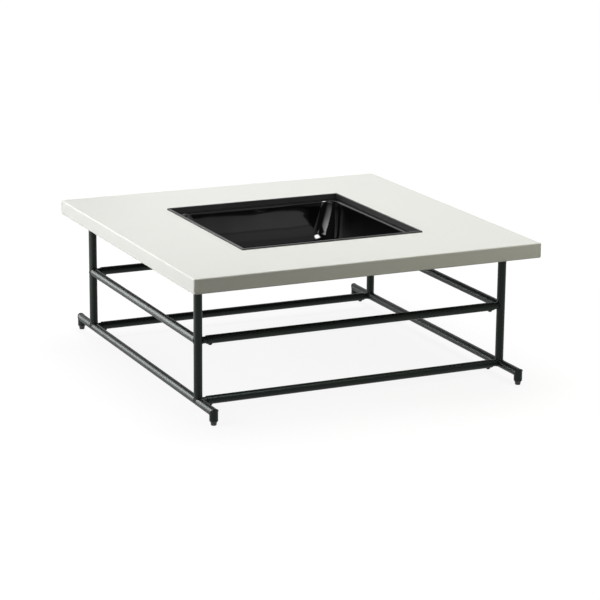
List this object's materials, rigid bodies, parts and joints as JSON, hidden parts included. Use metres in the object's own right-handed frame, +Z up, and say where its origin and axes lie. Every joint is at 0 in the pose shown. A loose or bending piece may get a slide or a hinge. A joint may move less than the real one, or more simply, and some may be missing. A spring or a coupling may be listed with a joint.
{
  "type": "fire pit table",
  "caption": "Low square outdoor table with a slab-like folded steel top on a bolted round-tube frame; a square black fire pan drops into a collar in the middle.",
  "frame": {"origin": "on the floor, under the centre of the table", "axes": "+Z up, +X to the right along the front, +Y to the back; the side frames run along Y and the rails along X"},
  "size_m": [1.1, 1.112, 0.431],
  "materials": {
    "top_white": "matt off-white powder coat",
    "underside_white": "matt off-white powder coat over welds",
    "frame_black": "satin black powder coat with a faint green-grey cast",
    "collar_black": "matt heat-resistant black",
    "pan_enamel": "gloss black vitreous enamel on pressed steel",
    "black_fastener": "black oxide, satin",
    "plated_steel": "bright zinc plate",
    "glide_plastic": "moulded black nylon",
    "insert_plastic": "moulded black nylon, glass filled"
  },
  "bodies": {
    "table": {"collar_bar_back": "collar_black", "collar_bar_front": "collar_black", "collar_bar_left": "collar_black", "collar_bar_right": "collar_black", "collar_tab_nuts": "plated_steel", "collar_tab_screws": "black_fastener", "collar_tabs": "collar_black", "cross_bearer_back": "underside_white", "cross_bearer_front": "underside_white", "foot_drop_back_left": "frame_black", "foot_drop_back_right": "frame_black", "foot_drop_front_left": "frame_black", "foot_drop_front_right": "frame_black", "foot_inserts": "insert_plastic", "leg_back_left": "frame_black", "leg_back_right": "frame_black", "leg_front_left": "frame_black", "leg_front_right": "frame_black", "leg_plate_back_left": "frame_black", "leg_plate_back_right": "frame_black", "leg_plate_front_left": "frame_black", "leg_plate_front_right": "frame_black", "leg_plate_nuts": "plated_steel", "leg_plate_screws": "black_fastener", "low_rail_back": "frame_black", "low_rail_front": "frame_black", "low_side_tube_left": "frame_black", "low_side_tube_right": "frame_black", "mid_rail_back": "frame_black", "mid_rail_front": "frame_black", "mid_side_tube_left": "frame_black", "mid_side_tube_right": "frame_black", "opening_bearer_left": "underside_white", "opening_bearer_right": "underside_white", "pan_ledge_back": "collar_black", "pan_ledge_front": "collar_black", "pan_ledge_left": "collar_black", "pan_ledge_right": "collar_black", "rail_bolts": "black_fastener", "rail_nuts": "plated_steel", "rail_stubs_left": "frame_black", "rail_stubs_right": "frame_black", "side_bearer_left": "underside_white", "side_bearer_right": "underside_white", "top_skin": "top_white"},
    "pan": {"fire_pan": "pan_enamel"},
    "foot_front_left": {"foot_glide_front_left": "glide_plastic", "foot_stud_front_left": "plated_steel"},
    "foot_front_right": {"foot_glide_front_right": "glide_plastic", "foot_stud_front_right": "plated_steel"},
    "foot_back_left": {"foot_glide_back_left": "glide_plastic", "foot_stud_back_left": "plated_steel"},
    "foot_back_right": {"foot_glide_back_right": "glide_plastic", "foot_stud_back_right": "plated_steel"}
  },
  "joints": [
    {"name": "pan_lift", "type": "slide", "parent": "table", "child": "pan", "axis": [0, 0, 1], "range_m": [0, 0.17]},
    {"name": "foot_screw_front_left", "type": "slide", "parent": "table", "child": "foot_front_left", "axis": [0, 0, -1], "range_m": [0, 0.008]},
    {"name": "foot_screw_front_right", "type": "slide", "parent": "table", "child": "foot_front_right", "axis": [0, 0, -1], "range_m": [0, 0.008]},
    {"name": "foot_screw_back_left", "type": "slide", "parent": "table", "child": "foot_back_left", "axis": [0, 0, -1], "range_m": [0, 0.008]},
    {"name": "foot_screw_back_right", "type": "slide", "parent": "table", "child": "foot_back_right", "axis": [0, 0, -1], "range_m": [0, 0.008]}
  ]
}
